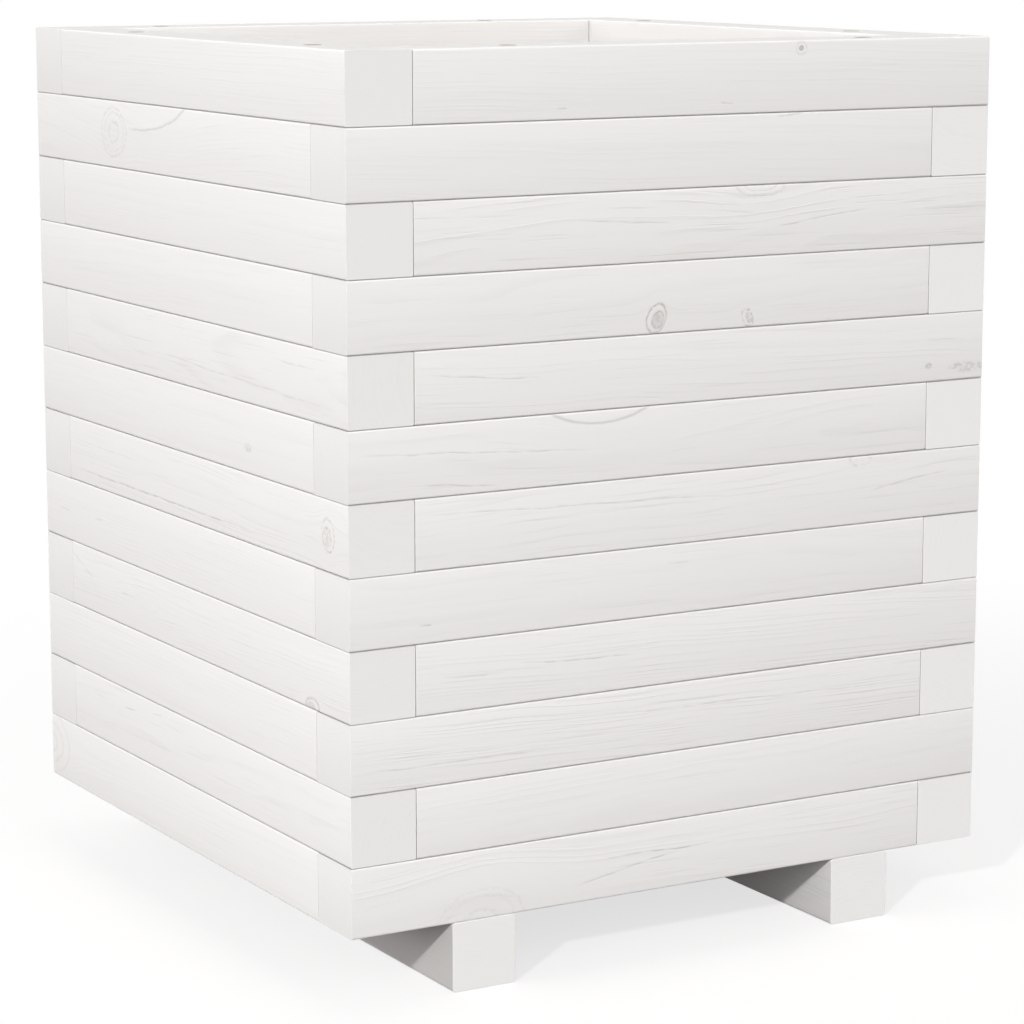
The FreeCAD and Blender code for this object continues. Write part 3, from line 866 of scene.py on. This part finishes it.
beam_places = []
for name in timbers:
    words = name.split("_")
    if words[0] != "course" or words[1] == "01":
        continue
    wall, is_even = words[2], int(words[1]) % 2 == 0
    low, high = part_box(name)
    lengthwise = 1 if wall in ("left", "right") else 0
    free_high = (FREE_END_OF_EVEN_COURSE[wall] > 0) == is_even
    from_low, from_high = BUTT_END_TO_HOLE, FREE_END_TO_HOLE
    if not free_high:
        from_low, from_high = from_high, from_low
    for along in (low[lengthwise] + from_low, high[lengthwise] - from_high):
        place = (low + high) / 2
        place[lengthwise] = along
        place.z = high.z - COUNTERBORE_DEPTH + HEAD_ABOVE_SEAT
        beam_places.append(screw_place(*place))

foot_places, board_places = [], []
for foot, side in (("left_foot", -1), ("right_foot", 1)):
    low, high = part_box(foot)
    inner_side = high.x if side < 0 else low.x
    for y in (low.y + BEAM_WIDTH / 2, high.y - BEAM_WIDTH / 2):
        foot_places.append(screw_place(inner_side + side * FOOT_SIDE_TO_SCREW, y,
                                       COUNTERBORE_DEPTH - HEAD_ABOVE_SEAT, head_up=False))
    for number in (1, 2, 3, 4):
        board_low, board_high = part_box(f"floor_board_{number}")
        board_places.append(screw_place((low.x + high.x) / 2, (board_low.y + board_high.y) / 2,
                                        board_high.z - BOARD_SCREW_SINK))
print(len(beam_places), "beam screws,", len(foot_places), "foot screws,", len(board_places),
      "board screws")

# %% [markdown]
# ## Zinc-plated steel
# The screws are steel with a bright zinc plating, cleared with a passivation dip. Zinc is a pale
# grey metal, a little blue, and a plated surface is satin rather than mirror-like: a roughness of
# about 0.35. The plating is finely crystalline, which clouds it unevenly over a millimetre or so.

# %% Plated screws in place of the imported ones
# Zinc crystals are about 0.1 mm: drawn as clouds of 1.2 mm, so that they show
CRYSTAL_CLOUD = 1.2 * MM
zinc = blank_material("clear_passivated_zinc_plate")
plate = zinc.node_tree
crystal_point = add(plate, "TexCoord")
crystals = add(plate, "TexNoise", {
    "Vector": crystal_point.outputs["Object"], "Scale": 1 / CRYSTAL_CLOUD, "Detail": 3.0})
zinc_colour = add(plate, "Mix", {
    "Factor": crystals, 6: linear("#AEB1B4"), 7: linear("#CDCFCF")}, data_type="RGBA")
zinc_gloss = add(plate, "MapRange", {
    "Value": crystals, "From Min": 0.3, "From Max": 0.7, "To Min": 0.28, "To Max": 0.42})
zinc_bump = add(plate, "Bump", {"Height": crystals, "Distance": 0.01 * MM, "Strength": 0.6})
zinc_plate = add(plate, "BsdfPrincipled", {
    "Base Color": zinc_colour.outputs[2], "Metallic": 1.0, "Roughness": zinc_gloss,
    "Normal": zinc_bump})
add(plate, "OutputMaterial", {"Surface": zinc_plate})

for name, node, mesh, places in (("plated_beam_screws", "beam_screws", beam_screw, beam_places),
                                 ("plated_foot_screws", "foot_screws", beam_screw, foot_places),
                                 ("plated_floor_screws", "floor_screws", board_screw,
                                  board_places)):
    group = bmesh.new()
    for place in places:
        copy = mesh.copy()
        copy.transform(place)
        group.from_mesh(copy)
        bpy.data.meshes.remove(copy)
    screws = as_object(name, group)
    screws.data.materials.append(zinc)
    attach(screws, "root")
    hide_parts(node)
    print(name, "has", len(screws.data.polygons), "faces")

# %% [markdown]
# ## The floor and the sky
# The planter stands on a plain white floor. To a lit surface that floor is a dark grey, so that it
# throws little light up under the box. To the camera, and in reflections, it is white where
# nothing shades it, and it fades to the same white as the sky beyond. A soft shadow stays round the
# feet. Seen from below, the floor lets the view through. One function tells the rays that see a
# thing from those that only carry its light.

# %% Floor
FLOOR_REACH = 12.0
SHADOW_KEPT_TO = 0.35
WHITE_FROM = 1.1
floor_mesh = bmesh.new()
bmesh.ops.create_grid(floor_mesh, x_segments=1, y_segments=1, size=FLOOR_REACH)
floor = as_object("studio_floor", floor_mesh)


def seen_ray(tree):
    """1 on rays from the camera, in reflections and through clear things, 0 on the others."""
    rays = add(tree, "LightPath").outputs
    seen = add(tree, "Math", {0: rays["Is Camera Ray"], 1: rays["Is Glossy Ray"]},
               operation="MAXIMUM")
    return add(tree, "Math", {0: seen, 1: rays["Is Transmission Ray"]}, operation="MAXIMUM")


paper = blank_material("matt_white_paper")
sheet = paper.node_tree
where = add(sheet, "TexCoord").outputs["Object"]
distance = add(sheet, "VectorMath", {0: where}, operation="LENGTH")
beyond = add(sheet, "MapRange", {
    "Value": distance.outputs["Value"], "From Min": SHADOW_KEPT_TO, "From Max": WHITE_FROM},
    interpolation_type="SMOOTHSTEP")
grey_paper = add(sheet, "BsdfDiffuse", {"Color": linear("#5A5958")})
near_paper = add(sheet, "BsdfDiffuse", {"Color": linear("#9A9998")})
glow = add(sheet, "Emission", {"Color": linear("#FFFFFF"), "Strength": 0.7})
near_white = add(sheet, "AddShader", {0: near_paper, 1: glow})
white = add(sheet, "Emission", {"Color": linear("#FFFFFF")})
seen_paper = add(sheet, "MixShader", {0: beyond, 1: near_white, 2: white})
paper_top = add(sheet, "MixShader", {0: seen_ray(sheet), 1: grey_paper, 2: seen_paper})
clear = add(sheet, "BsdfTransparent")
side_seen = add(sheet, "NewGeometry")
paper_sides = add(sheet, "MixShader", {0: side_seen.outputs["Backfacing"], 1: paper_top, 2: clear})
add(sheet, "OutputMaterial", {"Surface": paper_sides})
floor.data.materials.append(paper)
print("floor", 2 * FLOOR_REACH, "m wide")

# %% [markdown]
# The sky is a room that lights the planter softly from all round. Its walls are the brightest, but
# for their lowest part, and its ceiling is dark. Where the camera looks past the planter, and in
# reflections, it is plain white.

# %% Sky
WALL_LIGHT = 3.7
SKIRTING = 0.05
world = bpy.data.worlds.new("studio_room")
bpy.context.scene.world = world
world.use_nodes = True
studio = world.node_tree
studio.nodes.clear()
towards = add(studio, "TexCoord").outputs["Generated"]
height = add(studio, "SeparateXYZ", {0: towards}).outputs["Z"]
room = add(studio, "MapRange", {
    "Value": height, "From Max": 0.8, "To Min": WALL_LIGHT, "To Max": 0.0})
skirting = add(studio, "MapRange", {"Value": height, "From Max": 0.3, "To Min": SKIRTING})
room = add(studio, "Math", {0: room, 1: skirting}, operation="MULTIPLY")
brightness = add(studio, "Mix", {"Factor": seen_ray(studio), 2: room, 3: 1.0})
sky = add(studio, "Background", {"Color": linear("#FFFFFF"), "Strength": brightness})
add(studio, "OutputWorld", {"Surface": sky})
print("room light", WALL_LIGHT, "from the walls,", WALL_LIGHT * SKIRTING, "from their foot")

# %% [markdown]
# ## Lamp
# The left wall is the brightest, then the front, and both are lit alike from the rim to the
# feet. The edge of the box's shadow on the feet's sides is crisp, and runs down and back at about
# 40 degrees. So the lamp is a small softbox, some 20 m away to the front and left and well above
# the rim, and the room does the rest.

# %% Lamp
LAMP_PLACE = Vector((-14.15, -11.22, 8.85))
LAMP_AIM = Vector((0, 0, 0.25))
lamp = bpy.data.lights.new("main_softbox", "AREA")
lamp.shape = "SQUARE"
lamp.size = 0.88
lamp.energy = 2169
holder = bpy.data.objects.new("main_softbox", lamp)
holder.location = LAMP_PLACE
holder.rotation_euler = (LAMP_AIM - LAMP_PLACE).to_track_quat("-Z", "Y").to_euler()
bpy.context.scene.collection.objects.link(holder)
print("the lamp stands", round((LAMP_AIM - LAMP_PLACE).length, 1), "m away")

# %% [markdown]
# ## Camera
# The picture was taken with a long lens from the front left, from a little above the rim.

# %% Camera
SENSOR_MM = 36.0
PIXELS = 1024
FOCAL_PIXELS = 3362.4
HEADING_DEGREES = 30.06
PITCH_DEGREES = -10.06
CAMERA_PLACE = (-0.9655, -1.6877, 0.5594)
heading, pitch = math.radians(HEADING_DEGREES), math.radians(PITCH_DEGREES)
camera = bpy.data.objects.new("camera", bpy.data.cameras.new("camera"))
camera.data.sensor_width = SENSOR_MM
camera.data.lens = FOCAL_PIXELS / PIXELS * SENSOR_MM
camera.location = CAMERA_PLACE
sight = Vector((math.sin(heading) * math.cos(pitch), math.cos(heading) * math.cos(pitch),
                math.sin(pitch)))
camera.rotation_euler = sight.to_track_quat("-Z", "Y").to_euler()
bpy.context.scene.collection.objects.link(camera)
bpy.context.scene.camera = camera
bpy.context.scene.view_settings.view_transform = "Standard"
print("lens", round(camera.data.lens, 1), "mm on", SENSOR_MM, "mm")
